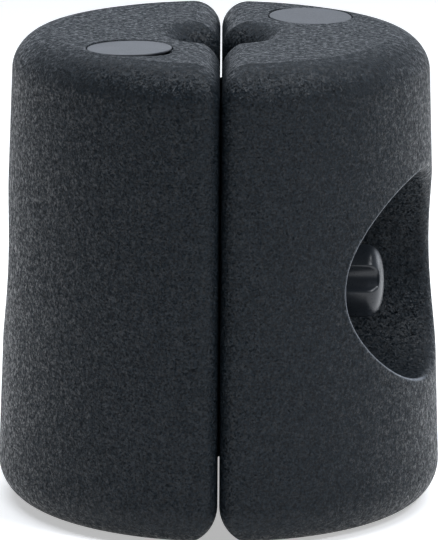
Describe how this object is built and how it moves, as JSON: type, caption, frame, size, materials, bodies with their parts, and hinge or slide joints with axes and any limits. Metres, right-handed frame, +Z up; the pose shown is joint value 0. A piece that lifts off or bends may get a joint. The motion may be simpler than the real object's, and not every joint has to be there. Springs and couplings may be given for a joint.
{
  "type": "two-part leg weight",
  "caption": "Round tapered leg weight in hollow plastic halves that clamp round a pole with hand knobs; each half fills through a push-in plug on top.",
  "frame": {"origin": "centre of the base circle on the ground, on the pole's axis", "axes": "+Z up along the pole, +X from the left half to the right half across the split, -Y the side where the right half's knob is"},
  "size_m": [0.2818, 0.2802, 0.3007],
  "materials": {
    "tank_plastic": "fine moulded grain",
    "plug_plastic": "smooth satin",
    "knob_plastic": "smooth, slightly glossy",
    "zinc_steel": "zinc plated",
    "brass": "turned",
    "seal_rubber": "matt"
  },
  "bodies": {
    "left_half": {"left_tank": "tank_plastic", "left_thread_insert": "brass"},
    "right_half": {"right_tank": "tank_plastic", "right_thread_insert": "brass"},
    "right_plug": {"right_fill_plug": "plug_plastic", "right_plug_seal": "seal_rubber"},
    "left_plug": {"left_fill_plug": "plug_plastic", "left_plug_seal": "seal_rubber"},
    "right_washer": {"right_knob_washer": "zinc_steel"},
    "right_screw": {"right_clamp_knob": "knob_plastic", "right_clamp_bolt": "zinc_steel"},
    "left_washer": {"left_knob_washer": "zinc_steel"},
    "left_screw": {"left_clamp_knob": "knob_plastic", "left_clamp_bolt": "zinc_steel"}
  },
  "joints": [
    {"name": "halves_part", "type": "slide", "parent": "left_half", "child": "right_half", "axis": [1, 0, 0], "range_m": [0, 0.12]},
    {"name": "right_plug_lift", "type": "slide", "parent": "right_half", "child": "right_plug", "axis": [0, 0, 1], "range_m": [0, 0.05]},
    {"name": "left_plug_lift", "type": "slide", "parent": "left_half", "child": "left_plug", "axis": [0, 0, 1], "range_m": [0, 0.05]},
    {"name": "right_screw_travel", "type": "slide", "parent": "right_half", "child": "right_washer", "axis": [1, 0, 0], "range_m": [0, 0.0151]},
    {"name": "right_screw_turn", "type": "hinge", "parent": "right_washer", "child": "right_screw", "pos_m": [0.09, -0.048, 0.1505], "axis": [1, 0, 0], "range_deg": [0, 3600]},
    {"name": "left_screw_travel", "type": "slide", "parent": "left_half", "child": "left_washer", "axis": [-1, 0, 0], "range_m": [0, 0.0151]},
    {"name": "left_screw_turn", "type": "hinge", "parent": "left_washer", "child": "left_screw", "pos_m": [-0.09, 0.048, 0.1505], "axis": [-1, 0, 0], "range_deg": [0, 3600]}
  ],
  "couplings": [
    {"joint": "right_screw_travel", "follows": "right_screw_turn", "m_per_rad": 0.00023873},
    {"joint": "left_screw_travel", "follows": "left_screw_turn", "m_per_rad": 0.00023873}
  ]
}
